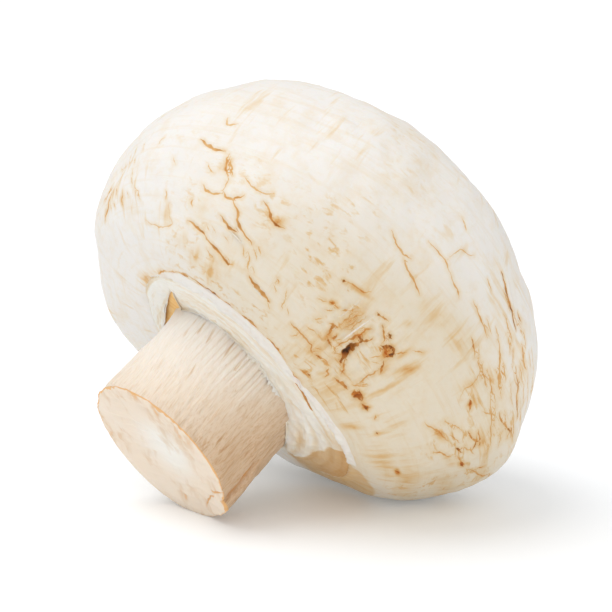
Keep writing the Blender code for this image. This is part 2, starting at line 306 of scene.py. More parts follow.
# Soft stains: (bearing, latitude), reach along and across in mm, the tilt of its long side from the equator in
# degrees, and strength.
STAINS = (
    ((198, -66), 1.0, 0.6, 75, 0.50),
    ((204, -70), 1.2, 0.8, 75, 0.50),
    ((205, -64), 1.4, 0.6, 60, 0.30),
    ((193, -61), 1.0, 0.5, 80, 0.20),
    ((216, -33), 0.7, 0.4, 40, 0.60),
    ((151, -40), 1.4, 0.7, 20, 0.45),
    ((156, -34), 1.6, 1.0, 20, 0.35),
    ((164, -42), 0.8, 0.5, 70, 0.30),
    ((198, -20), 0.9, 0.4, 70, 0.40),
    ((196, -44), 0.9, 0.6, 70, 0.22),
    ((185, -51), 0.9, 0.5, 70, 0.28),
    ((173, -89), 1.5, 0.7, 10, 0.55),
    ((150, -88), 1.8, 0.7, 10, 0.55),
    ((240, -35), 1.6, 0.25, 8, 0.50),
    ((237.8, -45.6), 0.4, 0.3, 45, 0.80),
    ((239.5, -45.4), 0.4, 0.2, 20, 0.40),
    ((244, -45), 1.9, 0.8, 82, 0.32),
    ((248.8, -47), 1.2, 0.5, 82, 0.50),
    ((243, -57), 0.9, 0.6, 60, 0.50),
    ((250, -57), 1.0, 0.5, 60, 0.55),
    ((257, -43), 0.9, 0.8, 0, 0.70),
    ((260, -39), 1.0, 0.4, 80, 0.40),
    ((264.3, -41), 1.3, 0.7, 60, 0.50),
    ((265.5, -54), 2.2, 0.25, 85, 0.30),
    ((261, -47), 1.0, 0.5, 80, 0.40),
    ((263.3, -65), 0.8, 0.6, 80, 0.70),
    ((268.6, -64.8), 0.6, 0.45, 70, 0.60),
    ((280, -65.5), 0.2, 0.5, 0, 0.30),
    ((275, -77), 0.9, 0.5, 80, 0.45),
    ((276, -76), 0.25, 0.2, 80, 0.55),
    ((247.2, -78.5), 0.55, 0.35, 60, 0.70),
    ((251, -72), 0.6, 0.4, 60, 0.45),
    ((240, -76), 2.4, 1.3, 75, 0.22),
    ((256, -76), 3.0, 1.5, 75, 0.28),
    ((264, -77), 2.2, 1.1, 75, 0.24),
    ((245, -65), 2.6, 1.6, 60, 0.30),
    ((236, -66), 1.8, 1.0, 40, 0.22),
    ((255, -30), 0.4, 0.3, 60, 0.40),
    ((263, -32), 0.5, 0.3, 60, 0.32),
    ((268, -19), 1.4, 0.7, 10, 0.34),
    ((263, -18), 2.2, 1.0, 15, 0.20),
    ((286, -12), 2.6, 0.6, 12, 0.26),
    ((283, 3), 2.4, 0.5, 8, 0.20),
    ((276, 10), 2.0, 0.5, 12, 0.26),
    ((292, 4), 1.8, 0.4, 5, 0.26),
    ((295, -3), 1.8, 0.6, 10, 0.24),
    ((298, -18), 1.5, 0.7, 20, 0.26),
    ((296, -28), 1.4, 0.6, 20, 0.28),
    ((303, -36), 0.7, 0.4, 20, 0.70),
    ((300, -41), 1.0, 0.5, 20, 0.50),
    ((288, -43), 1.2, 0.4, 25, 0.55),
    ((285, -26), 0.5, 0.3, 75, 0.60),
    ((280, -22), 1.4, 0.5, 60, 0.28),
    ((298, -60), 2.4, 0.7, 5, 0.20),
    ((301, -65), 0.7, 0.3, 5, 0.85),
    ((296, -70), 3.0, 1.0, 5, 0.30),
    ((310, -60), 4.0, 1.0, 5, 0.34),
    ((318, -40), 4.0, 1.0, 20, 0.28),
    ((322, -15), 3.0, 0.8, 20, 0.22),
)


# ---------------------------------------------------------------- the settings that a user would change


def length(name, description, default):
    """A size in metres."""
    return bpy.props.FloatProperty(name=name, description=description, default=default, unit="LENGTH")


def angle(name, description, degrees):
    """An angle, kept in radians."""
    return bpy.props.FloatProperty(name=name, description=description, default=math.radians(degrees), subtype="ANGLE")


def number(name, description, default):
    """A number without a unit."""
    return bpy.props.FloatProperty(name=name, description=description, default=default)


def hue(name, description, *default):
    """A colour."""
    return bpy.props.FloatVectorProperty(name=name, description=description, default=default, size=3, subtype="COLOR")


class CapSettings(bpy.types.PropertyGroup):
    """Sizes and colours of the cap."""

    radius: length("Radius", "Mean radius at the girth", 0.025)
    crown: length("Crown height", "From the girth up to the crown", 0.0178)
    roll: length("Roll depth", "From the girth down to the margin", 0.0105)
    margin: length("Margin radius", "Where the skin turns in", 0.014)
    skin: hue("Skin", "Fresh, pale skin", 0.825, 0.80, 0.768)
    cream: hue("Cream", "Warmer areas of the skin", 0.72, 0.635, 0.50)
    stain: hue("Stain", "The dye that bruised skin takes up", 0.855, 0.555, 0.265)
    # Dark is partly the bruise's own deep brown, partly painted shade inside the cracks.
    dark: hue("Dark", "Deep inside the cracks", 0.06, 0.026, 0.010)
    gill: hue("Gills", "Under the veil", 0.96, 0.64, 0.28)


class StemSettings(bpy.types.PropertyGroup):
    """Sizes and colours of the stem."""

    root_radius: length("Root radius", "Where it joins the cap", 0.0092)
    waist_radius: length("Waist radius", "Half way down", 0.0087)
    cut_radius: length("Cut radius", "At the cut end", 0.0086)
    flesh: hue("Flesh", "The stem's side", 0.865, 0.825, 0.77)
    # Fibre also colours the painted shade on the stem's shaded side and in its furrows.
    fibre: hue("Fibres", "The dye in its darker fibres", 0.75, 0.59, 0.44)
    cut: hue("Cut", "The cut face", 0.83, 0.71, 0.58)
    pith: hue("Pith", "The middle of the cut", 0.86, 0.83, 0.77)
    rim: hue("Rim", "The dried edge of the cut", 0.80, 0.45, 0.18)


class VeilSettings(bpy.types.PropertyGroup):
    """Sizes and colours of the veil."""

    thickness: length("Thickness", "Thickness of the membrane", 0.0004)
    membrane: hue("Membrane", "The pale membrane", 0.85, 0.82, 0.755)
    # Also the colour of the painted shade in the veil's folds, margin groove, slit and underside band.
    shade: hue("Shade", "The dye in its folds and dried edge", 0.82, 0.62, 0.40)


class StageSettings(bpy.types.PropertyGroup):
    """The table, the light and the camera."""

    distance: length("Distance", "From the camera to the mushroom", 0.1842)
    lens: number("Lens", "Focal length in mm", 102.94)
    azimuth: angle("Azimuth", "Which way the camera looks", 45)
    elevation: angle("Elevation", "How far down the camera looks", 10)
    floor: hue("Floor", "The table's colour", 0.915, 0.93, 0.945)
    sky: number("Sky", "Brightness of the white surroundings", 0.66)
    key: number("Key", "Brightness of the main soft light", 1.18)


# ---------------------------------------------------------------- shapes worked out with numpy


def bump(bearing, centre, spread):
    """1 at the centre bearing, falling as a bell curve. The centre and spread are in degrees."""
    apart = np.remainder(bearing - math.radians(centre) + math.pi, 2 * math.pi) - math.pi
    return np.exp(-((apart / math.radians(spread)) ** 2))


def swing(bearing, toward):
    """Cosine of the angle between a bearing and the one it swings towards, given in degrees."""
    return np.cos(bearing - math.radians(toward))


def smooth(value, low, high):
    """0 below low, 1 above high, and an S-shaped cubic between."""
    share = np.clip((value - low) / (high - low), 0, 1)
    return share * share * (3 - 2 * share)


def window(value, rise, full, fade, end):
    """0 below rise, 1 from full to fade, 0 above end, and S-shaped cubics between."""
    return smooth(value, rise, full) * (1 - smooth(value, fade, end))


def ripple(points, wavelength, seed, waves=30):
    """Smooth noise about 0 with unit spread: the sum of plane sine waves of about one wavelength, each in its own
    random direction, divided by the root of half their number."""
    rng = np.random.default_rng(seed)
    toward = rng.normal(size=(waves, 3))
    toward /= np.linalg.norm(toward, axis=1, keepdims=True)
    toward *= (2 * math.pi / wavelength) * rng.uniform(0.6, 1.6, (waves, 1))
    phase = rng.uniform(0, 2 * math.pi, waves)
    flat = points.reshape(-1, 3)
    total = np.zeros(len(flat))
    for direction, start in zip(toward, phase):
        total += np.sin(flat @ direction + start)
    return (total / math.sqrt(waves / 2)).reshape(points.shape[:-1])


def uneven(points, ripples):
    """The sum of a table of ripples, in mm, each on points that are squeezed along the mushroom's own axis."""
    total = 0
    for height, wavelength, seed, squeeze in ripples:
        total = total + height * ripple(points * np.array((1, 1, squeeze)), wavelength * MM, seed)
    return total


def at_bearings(degrees, table):
    """The value at each bearing, straight between the (bearing, value) pairs of a table."""
    return np.interp(degrees, *zip(*table))


def spaced(low, high, count, focus=0.0, spread=1.0, gain=0.0):
    """Values from low up to high, which is left out, closer together about the focus: there are 1 + gain times a bell
    curve as many of them in each step."""
    fine = np.linspace(low, high, 3000)
    crowd = 1 + gain * np.exp(-(((fine - focus) / spread) ** 2))
    total = np.concatenate(([0], np.cumsum((crowd[1:] + crowd[:-1]) / 2)))
    return np.interp(np.linspace(0, total[-1], count, endpoint=False), total, fine)


def around(front, back, gain=0.0):
    """Bearings in radians, once round, with front columns between the two FRONT bearings and back columns behind. The
    gain crowds the front ones about the bruised patch."""
    low, high = FRONT
    near = spaced(low, high, front, *CROWDED, gain)
    far = np.linspace(high, low + 360, back, endpoint=False)
    return np.radians(np.concatenate((near, far)))


def placed(local):
    """Points on the mushroom's own axis, leant over about Y and moved to the girth's centre."""
    x, y, z = local[..., 0], local[..., 1], local[..., 2]
    c, s = math.cos(LEAN_OVER), math.sin(LEAN_OVER)
    return np.stack((x * c + z * s, y, z * c - x * s), axis=-1) + GIRTH_CENTRE


def polar(radius, bearing, height):
    """Points at a radius, bearing and height on the mushroom's own axis."""
    return np.stack(np.broadcast_arrays(radius * np.cos(bearing), radius * np.sin(bearing), height), axis=-1)


def normals(grid, closed=True):
    """Unit normals of a grid of points: the cross product of the steps down its rows and along its columns."""
    down = np.gradient(grid, axis=0)
    if closed:
        along = np.roll(grid, -1, axis=1) - np.roll(grid, 1, axis=1)
    else:
        along = np.gradient(grid, axis=1)
    out = np.cross(down, along)
    return out / np.maximum(np.linalg.norm(out, axis=-1, keepdims=True), 1e-12)


def cap_lobe(bearing):
    """Share by which the cap's radius grows at a bearing: 1 + the sum of depth times cos(count times the angle)."""
    share = 1 - FAR_TRIM[0] * bump(bearing, FAR_TRIM[1], FAR_TRIM[2])
    for count, depth, toward in LOBES:
        share = share + depth * np.cos(count * (bearing - math.radians(toward)))
    return share


def girth_lean(cap, radius, bearing):
    """Height by which the cap tilts: less towards the leaning side, in step with the radius."""
    return -GIRTH_LEAN[0] * radius / cap.radius * swing(bearing, GIRTH_LEAN[1])


def margin_height(cap, bearing):
    """Height of the cap's margin: the tilt there, less the roll's depth and its swing to one side."""
    return girth_lean(cap, cap.margin, bearing) - cap.roll - ROLL_SWING[0] * swing(bearing, ROLL_SWING[1])


def wall_radius(cap, height, bearing):
    """Radius of the inside of the rolled rim, which leans in a little up to the ceiling, and is 0.4 mm thinner than the
    solid body's."""
    foot = margin_height(cap, bearing) + LIP
    return (cap.margin - LIP - WALL_LEAN * (height - foot) / (CEILING - foot)) * cap_lobe(bearing) + 0.4 * MM


def cap_surface(cap, bearing, latitude):
    """The cap's outside. Above the girth a superellipse: radius R cos^n, height H sin^n of the latitude. Below it a
    quarter ellipse from the girth in to the margin, deeper on one side. Both are scaled by the lobes and tilted."""
    rise = np.clip(latitude, 0, math.pi / 2)
    turned = np.clip(-latitude, 0, math.pi / 2)
    deep = cap.roll + ROLL_SWING[0] * swing(bearing, ROLL_SWING[1])
    upper = cap.radius * np.cos(rise) ** CROWN_FULLNESS
    lower = cap.margin + (cap.radius - cap.margin) * np.cos(turned)
    radius = np.where(latitude >= 0, upper, lower)
    height = np.where(latitude >= 0, cap.crown * np.sin(rise) ** CROWN_FULLNESS, -deep * np.sin(turned))
    return polar(radius * cap_lobe(bearing), bearing, height + girth_lean(cap, radius, bearing))


def stem_share(height):
    """0 at the root and 1 at the cut."""
    return np.clip((height - STEM_ROOT) / (STEM_CUT - STEM_ROOT), 0, 1)


def stem_radius(stem, height):
    """Straight from the root's radius to the cut's, drawn in by half a sine wave at the waist."""
    share = stem_share(height)
    middle = (stem.root_radius + stem.cut_radius) / 2
    straight = stem.root_radius + (stem.cut_radius - stem.root_radius) * share
    return straight - (middle - stem.waist_radius) * np.sin(math.pi * share)


def bent_stem(radius, bearing, height):
    """The stem bends towards the far side and its cut slants, both in step with how far down it a point is."""
    share = stem_share(height)
    slant = radius * math.tan(math.radians(CUT_SLANT[0])) * swing(bearing, CUT_SLANT[1])
    heel = HEEL[0] * bump(bearing, HEEL[1], HEEL[2]) * share**3
    out = polar(radius + heel, bearing, height + slant * share)
    out[..., 1] += STEM_BEND * share
    return out


def tear(bearing):
    """How far the veil's inner edge stands off the stem, and how far it is pulled round: straight between TEAR's
    bearings."""
    degrees = np.degrees(bearing) % 360
    places, off, pulled = zip(*TEAR)
    return np.interp(degrees, places, off) * MM, np.radians(np.interp(degrees, places, pulled))


def veil_inner(bearing):
    """Height of the veil's inner edge beside the stem."""
    return VEIL_INNER[0] - VEIL_INNER[1] * swing(bearing, VEIL_INNER[2])


def stem_side(stem, height, bearing):
    """Radius of the bent stem's side about the mushroom's own axis, near enough."""
    return stem_radius(stem, height) + STEM_BEND * stem_share(height) * np.sin(bearing)


def veil_sheet(cap, stem, bearing, reach, gap=0.0):
    """Radius and height of the veil where the reach is 0 at the margin and 1 at the stem, or the gap short of it:
    straight between them but for a sag of half a sine wave, a hanging belly on the near side, and a tuck into the
    cap's flesh at the margin and into the stem's on the near side. There it stays back behind the margin."""
    behind = smooth(swing(bearing, 290), 0.35, 0.75)
    outer = margin_height(cap, bearing) + (0.12 * behind - 0.05) * MM
    inner = veil_inner(bearing)
    rim = cap.margin * cap_lobe(bearing) + 0.15 * MM
    beside = stem_side(stem, inner, bearing) + (0.05 - 0.25 * bump(bearing, 325, 40)) * MM
    belly = 1.1 * bump(bearing, 318, 34) * smooth(reach, 0.35, 0.9)
    sag = 0.2 * np.sin(math.pi * np.clip(reach, 0, 1)) + belly
    tuck = 0.22 * (1 - smooth(reach, 0, 0.05))
    return rim + (beside + gap - rim) * reach, outer + (inner - outer) * reach + (tuck - sag) * MM


def subdivided(points, rng, rounds=3, wander=0.1):
    """A crooked line through a few points: each round adds middles, pushed sideways by a random share of the step."""
    line = np.array(points, float)
    for _ in range(rounds):
        step = line[1:] - line[:-1]
        aside = np.stack((-step[:, 1], step[:, 0]), axis=1) * rng.uniform(-wander, wander, (len(step), 1))
        middle = (line[1:] + line[:-1]) / 2 + aside
        joined = np.empty((len(line) + len(middle), 2))
        joined[0::2] = line
        joined[1::2] = middle
        line = joined
    return line


def line_distance(points, line, out=None):
    """Distance of each point from a line of 3-D points, and how far along the line (0 to 1) the nearest place is. With
    the surface's normals, the distance is below 0 to the left of the line."""
    start, step = line[:-1], line[1:] - line[:-1]
    squared = np.maximum((step**2).sum(1), 1e-18)
    along = np.clip(((points[:, None] - start) * step).sum(-1) / squared, 0, 1)
    off = points[:, None] - start - along[..., None] * step
    apart = np.linalg.norm(off, axis=-1)
    nearest = apart.argmin(1)
    rows = np.arange(len(points))
    distance = apart[rows, nearest]
    if out is not None:
        turn = (np.cross(step[nearest], off[rows, nearest]) * out).sum(-1)
        distance = np.where(turn < 0, -distance, distance)
    return distance, (nearest + along[rows, nearest]) / len(step)


def laid_out(cap, points, path, rng, wander):
    """A crooked line on the cap through (bearing, latitude) pairs in degrees, and which of the points are in its own
    box, grown by the reach of its marks."""
    line = np.radians(subdivided(path, rng, wander=wander))
    track = cap_surface(cap, line[:, 0], line[:, 1])
    low, high = track.min(0) - MARKED * MM, track.max(0) + MARKED * MM
    return track, np.flatnonzero(((points > low) & (points < high)).all(1))


def strewn_scratches(seed):
    """SCRATCHES as short cracks: each starts anywhere in its patch, and the darker it is the wider."""
    rng = np.random.default_rng(seed)
    cracks = []
    for count, (low, high), run, dark in SCRATCHES:
        starts = rng.uniform(low, high, (count, 2))
        runs = np.array(run) * rng.uniform(0.5, 1.5, (count, 2))
        strong = rng.uniform(0.4, 1.0, count)
        for start, step, share in zip(starts, runs, strong):
            cracks.append((0.025 + 0.035 * share, 0.03, dark * share, (start, start + 0.5 * step, start + step)))
    return tuple(cracks)


def crack_fields(cap, grid, out, seed):
    """How the cracks and ridges mark the cap: the height change in mm, for the nearest crack the signed distance from
    its middle line in mm, the same without its sign, the half width, which swells in the middle, and the darkness, and
    how pale the ridges' crests are, partly fresh skin and partly painted highlight. A crack is a bell-shaped groove
    between two low bell-shaped banks."""
    rng = np.random.default_rng(seed)
    points, out = grid.reshape(-1, 3), out.reshape(-1, 3)
    height, width, tone, pale = (np.zeros(len(points)) for _ in range(4))
    apart, near = np.full(len(points), FAR_OFF), np.full(len(points), FAR_OFF)
    for half, deep, dark, path in CRACKS + strewn_scratches(seed + 1):
        track, close = laid_out(cap, points, path, rng, 0.16)
        signed, along = line_distance(points[close], track, out[close])
        signed = signed / MM
        distance = np.abs(signed)
        swell = np.sin(math.pi * np.clip(along, 0.02, 0.98)) ** 0.7
        swell = swell * (1 + 0.35 * np.sin(19 * along + rng.uniform(0, 6)))
        reach = half * 1.2 + 0.05
        height[close] -= deep * swell * np.exp(-((distance / reach) ** 2))
        height[close] += 0.35 * deep * swell * np.exp(-(((distance - 2.4 * reach) / (1.1 * reach)) ** 2))
        strong = dark * (0.72 + 0.28 * np.sin(11 * along + rng.uniform(0, 6)) * np.sin(5 * along + rng.uniform(0, 6)))
        own = half * (0.15 + swell)
        nearer = distance - own < near[close] - width[close]
        for values, new in ((tone, strong), (apart, signed), (width, own), (near, distance)):
            values[close] = np.where(nearer, new, values[close])
    for half, rise, path in RIDGES:
        track, close = laid_out(cap, points, path, rng, 0.015)
        distance, along = line_distance(points[close], track)
        taper = np.sin(math.pi * np.clip(along, 0.02, 0.98)) ** 0.35
        crest = taper * np.exp(-((distance / MM / half) ** 2))
        height[close] += rise * crest
        # pale crests: partly the torn skin's own white, partly painted highlight
        pale[close] = np.maximum(pale[close], crest * min(1, 5 * rise))
    return [values.reshape(grid.shape[:-1]) for values in (height, apart, near, width, tone, pale)]


def stain_field(cap, grid):
    """The soft stains: the strongest of a set of tilted bell curves, measured in mm along and across each one, and
    cut off far away, where the cap's other side could come near."""
    total = np.zeros(grid.shape[:-1])
    for (east, north), long, short, tilt, strength in STAINS:
        middle = cap_surface(cap, np.radians(float(east)), np.radians(float(north)))
        apart = (grid - middle) / MM
        east_way = np.array((-math.sin(math.radians(east)), math.cos(math.radians(east)), 0))
        north_way = cap_surface(cap, np.radians(float(east)), np.radians(north + 1.0)) - middle
        north_way /= np.linalg.norm(north_way)
        a, b = apart @ east_way, apart @ north_way
        c, s = math.cos(math.radians(tilt)), math.sin(math.radians(tilt))
        out = ((a * c + b * s) / long) ** 2 + ((b * c - a * s) / short) ** 2 + ((apart**2).sum(-1) > 60) * 9
        total = np.maximum(total, strength * np.exp(-out))
    return total


# ---------------------------------------------------------------- meshes


def quads(index):
    """The four-sided faces between neighbouring rows and columns of a grid of point numbers."""
    return np.stack((index[:-1, :-1], index[1:, :-1], index[1:, 1:], index[:-1, 1:]), axis=-1).reshape(-1, 4).tolist()


def mesh_object(name, points, faces, look, fields):
    """An object with a smooth mesh. Fields are numbers or vectors per point, kept as attributes."""
    mesh = bpy.data.meshes.new(name)
    mesh.from_pydata(points, [], faces)
    for key, values in fields.items():
        kind, slot = ("FLOAT_VECTOR", "vector") if values.shape[1] == 3 else ("FLOAT", "value")
        mesh.attributes.new(key, kind, "POINT").data.foreach_set(slot, values.ravel())
    mesh.shade_smooth()
    mesh.materials.append(look)
    made = bpy.data.objects.new(name, mesh)
    bpy.context.scene.collection.objects.link(made)
    return made


def grid_mesh(name, grid, look, start=None, end=None, loop_rows=False, closed=True, fields=None):
    """An object from a grid of points, whose columns run once round. A start or end point closes a pole with a fan, and
    loop_rows joins the last row to the first. A pole's field is the mean of the row beside it."""
    rows, columns = grid.shape[:2]
    index = np.arange(rows * columns).reshape(rows, columns)
    if loop_rows:
        index = np.vstack((index, index[:1]))
    if closed:
        index = np.hstack((index, index[:, :1]))
    faces = quads(index)
    points = [grid.reshape(-1, 3)]
    total = rows * columns
    if start is not None:
        fan = np.stack((np.full(columns, total), index[0, :-1], index[0, 1:]), axis=-1)
        faces += fan.tolist()
        points.append(np.reshape(start, (1, 3)))
        total += 1
    if end is not None:
        fan = np.stack((index[-1, :-1], np.full(columns, total), index[-1, 1:]), axis=-1)
        faces += fan.tolist()
        points.append(np.reshape(end, (1, 3)))
        total += 1
    kept = {}
    for key, values in (fields or {}).items():
        width = 3 if values.ndim == 3 else 1
        kept[key] = np.zeros((total, width), np.float32)
        kept[key][: rows * columns] = values.reshape(-1, width)
        if start is not None:
            kept[key][rows * columns] = values[0].reshape(-1, width).mean(0)
        if end is not None:
            kept[key][-1] = values[-1].reshape(-1, width).mean(0)
    return mesh_object(name, np.concatenate(points), faces, look, kept)


def on_table(points):
    """Soft flesh flattens where it presses on the table."""
    points[..., 2] = np.maximum(points[..., 2], 0)
    return points


def keep(piece, slot, *nodes):
    """Rides the piece on the mushroom's one body and hides the CAD nodes that it stands for; the finish's slot is not
    used.
    """
    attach(piece, "root")
    if nodes:
        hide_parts(*nodes)


# ---------------------------------------------------------------- materials


class Value:
    """A socket in a material. Python arithmetic on it adds Math nodes."""

    def __init__(self, paint, socket):
        self.paint = paint
        self.socket = socket

    def maths(self, operation, *values):
        return self.paint.node("ShaderNodeMath", {"operation": operation}, dict(enumerate(values)))

    def __add__(self, other):
        return self.maths("ADD", self, other)

    __radd__ = __add__

    def __sub__(self, other):
        return self.maths("SUBTRACT", self, other)

    def __rsub__(self, other):
        return self.maths("SUBTRACT", other, self)

    def __mul__(self, other):
        return self.maths("MULTIPLY", self, other)

    __rmul__ = __mul__

    def __abs__(self):
        return self.maths("ABSOLUTE", self)

    def __rpow__(self, base):
        return self.maths("POWER", base, self)

    def most(self, other):
        return self.maths("MAXIMUM", self, other)

    def least(self, other):
        return self.maths("MINIMUM", self, other)

    def between(self, low, high):
        """An S-shaped step from 0 to 1 as the value goes from low to high."""
        return self.paint.node("ShaderNodeMapRange", {"interpolation_type": "SMOOTHSTEP"}, {0: self, 1: low, 2: high})


class Paint:
    """A material under construction, with one method that adds any node."""

    def __init__(self, name, **constants):
        self.material = bpy.data.materials.new(name)
        self.material.use_nodes = True
        self.tree = self.material.node_tree
        self.shader = self.tree.nodes["Principled BSDF"]
        for socket, value in constants.items():
            self.shader.inputs[socket.replace("_", " ")].default_value = value

    def node(self, kind, settings=None, sockets=None, output=0):
        """Adds a node, sets it up, and fills or links its sockets."""
        made = self.tree.nodes.new(kind)
        for setting, value in (settings or {}).items():
            setattr(made, setting, value)
        for socket, value in (sockets or {}).items():
            if isinstance(value, Value):
                self.tree.links.new(value.socket, made.inputs[socket])
            else:
                made.inputs[socket].default_value = value
        return Value(self, made.outputs[output])

    def feed(self, socket, value):
        """Links a value to one of the shader's own sockets."""
        self.tree.links.new(value.socket, self.shader.inputs[socket])

    def place(self):
        """The surface's place in the frame."""
        return self.node("ShaderNodeTexCoord", output="Object")

    def own_axis(self, squeeze):
        """The place on the mushroom's own axis, each direction divided by the squeeze."""
        sockets = {"Vector": self.place(), "Location": tuple(GIRTH_CENTRE), "Rotation": (0, LEAN_OVER, 0)}
        return self.node("ShaderNodeMapping", {"vector_type": "TEXTURE"}, {**sockets, "Scale": squeeze})

    def scaled(self, vector, scale, rotation=(0, 0, 0)):
        """A vector with each direction times the scale, and then turned."""
        return self.node("ShaderNodeMapping", None, {"Vector": vector, "Rotation": rotation, "Scale": scale})

    def field(self, name, output="Fac"):
        """What the piece's mesh keeps at each point under a name."""
        return self.node("ShaderNodeAttribute", {"attribute_name": name}, output=output)

    def noise(self, vector, scale, detail=3.0, roughness=0.55, distortion=0.0):
        sockets = {"Vector": vector, "Scale": scale, "Detail": detail, "Roughness": roughness}
        return self.node("ShaderNodeTexNoise", None, {**sockets, "Distortion": distortion})

    def mix(self, factor, first, second, blend="MIX"):
        """The first colour where the factor is 0 and the second where it is 1."""
        settings = {"data_type": "RGBA", "blend_type": blend, "clamp_factor": True}
        first, second = (c if isinstance(c, Value) else (*c, 1) for c in (first, second))
        return self.node("ShaderNodeMix", settings, {0: factor, 6: first, 7: second}, output=2)

    def steeped(self, colour, amount, tint):
        """Steeps a colour in a tint as a dye does: each channel times the tint's channel to the power of the amount."""
        channels = {at: channel**amount for at, channel in enumerate(tint)}
        return self.mix(1.0, colour, self.node("ShaderNodeCombineColor", None, channels), "MULTIPLY")

    def relief(self, height, strength):
        """Feeds a height in mm to the shader's normal through a Bump node."""
        sockets = {"Height": height, "Strength": strength, "Distance": MM}
        self.feed("Normal", self.node("ShaderNodeBump", None, sockets))


def cap_material(cap):
    """Skin with cream clouds, handling stains, brown-edged cracks whose dark cores are partly painted shade, ridge
    crests partly painted highlight, a brown rim inside partly painted shade, and fine fibrils.
    """
    paint = Paint("cap_skin", **FLESH_GLOW, Specular_IOR_Level=0.3)
    place = paint.place()
    grain = paint.field("grain", "Vector")
    cream_share, stain, tone, near = (paint.field(name) for name in ("cream_share", "stain", "tone", "near"))
    comb, ringed, hanging = (paint.field(name) for name in ("comb", "ringed", "hanging"))
    cloud = paint.noise(place, 70, 3, 0.55)
    worn = paint.noise(place, 110, 3, 0.6)
    mottle = paint.noise(place, 420, 4, 0.6)
    speck = paint.noise(place, 1500, 3, 0.6)
    fray = paint.noise(place, 4200, 3, 0.7)
    rings = paint.noise(paint.scaled(grain, (0.10, 0.10, 1.0)), 900, 4, 0.6, 0.3)
    combed = paint.noise(paint.scaled(grain, (1.0, 1.0, 0.12)), 900, 3, 0.6, 0.2)
    slanted = paint.noise(paint.scaled(grain, (0.10, 1.0, 1.0), SLANT), 1000, 4, 0.6, 0.4)

    # fresh skin, creamier on the near side and lower down, and the strokes that handling leaves
    colour = paint.mix((cream_share + 0.6 * (cloud - 0.5)).between(-0.15, 1.0), cap.skin, cap.cream)
    fibril = slanted.between(0.53, 0.70) * worn.between(0.46, 0.62) * (0.12 + 0.75 * cream_share)
    fibril = fibril + combed.between(0.54, 0.72) * worn.between(0.54, 0.42) * comb * 0.30
    fibril = fibril + ringed * rings.between(0.55, 0.66) * worn.between(0.40, 0.62) * 0.24
    fine = 0.12 * mottle.between(0.46, 0.74) + 0.08 * speck.between(0.5, 0.78) + 0.12 * comb * rings.between(0.5, 0.76)

    # stains, and cracks with a soft halo, a frayed line and a dark core, partly the bruise's brown and partly painted
    # shade
    strokes = combed + ringed * (rings - combed)
    blush = stain * (0.40 + 1.1 * strokes.between(0.40, 0.62)) * (0.5 + 0.9 * mottle)
    crisp = (stain * (0.45 + 1.1 * mottle) + (fray - 0.5) * 0.2).between(0.40, 0.56)
    wobble = (mottle - 0.5) * 0.22 + (speck - 0.5) * 0.16 + (fray - 0.5) * 0.10
    edge = abs(paint.field("apart") + wobble).most(near - 0.16) - paint.field("width")
    halo = (1 - near.between(0.0, 0.55)) * (0.06 + 0.40 * tone) * (0.4 + 1.2 * speck)
    line = 1 - edge.between(-0.04, 0.03)
    core_bruise_and_shade = 1 - edge.between(-0.17, -0.03)
    dye = fine + fibril + 1.2 * blush + 0.5 * crisp + halo + line * (0.45 + 1.35 * tone)
    colour = paint.steeped(colour, dye, cap.stain)
    # darkest in the cracks' cores: partly the bruise's own brown, partly painted shade deep in the gap
    deep = line * tone.between(0.35, 1.0) * 0.50 + core_bruise_and_shade * tone.between(0.62, 0.90) * 0.6
    colour = paint.mix(deep.least(0.94), colour, cap.dark)

    # the pale hem beside the margin and the ridges' crests, partly painted highlight, and the brown inside of the rim,
    # partly painted shade
    hem = paint.field("hem") + 0.9 * (mottle - 0.5)
    colour = paint.mix(hem.between(0.35, 0.8) * 0.75, colour, cap.skin)
    # the rim's inside, cream steeped brown on the near side: partly its own colour, partly painted shade
    under = paint.mix(hanging, cap.gill, cap.cream)
    under = paint.steeped(under, combed.between(0.35, 0.7) * 0.3 + hanging * 0.35, cap.stain)
    paint.feed("Base Color", paint.mix(paint.field("inner"), colour, under))
    paint.feed("Roughness", 0.62 + 0.12 * (mottle - 0.5) + 0.12 * stain)
    height = 0.07 * mottle + 0.04 * speck + 0.06 * rings + 0.10 * stain * combed - 0.05 * fibril
    paint.relief(height + 0.10 * paint.noise(place, 160, 2), 0.55)
    return paint.material


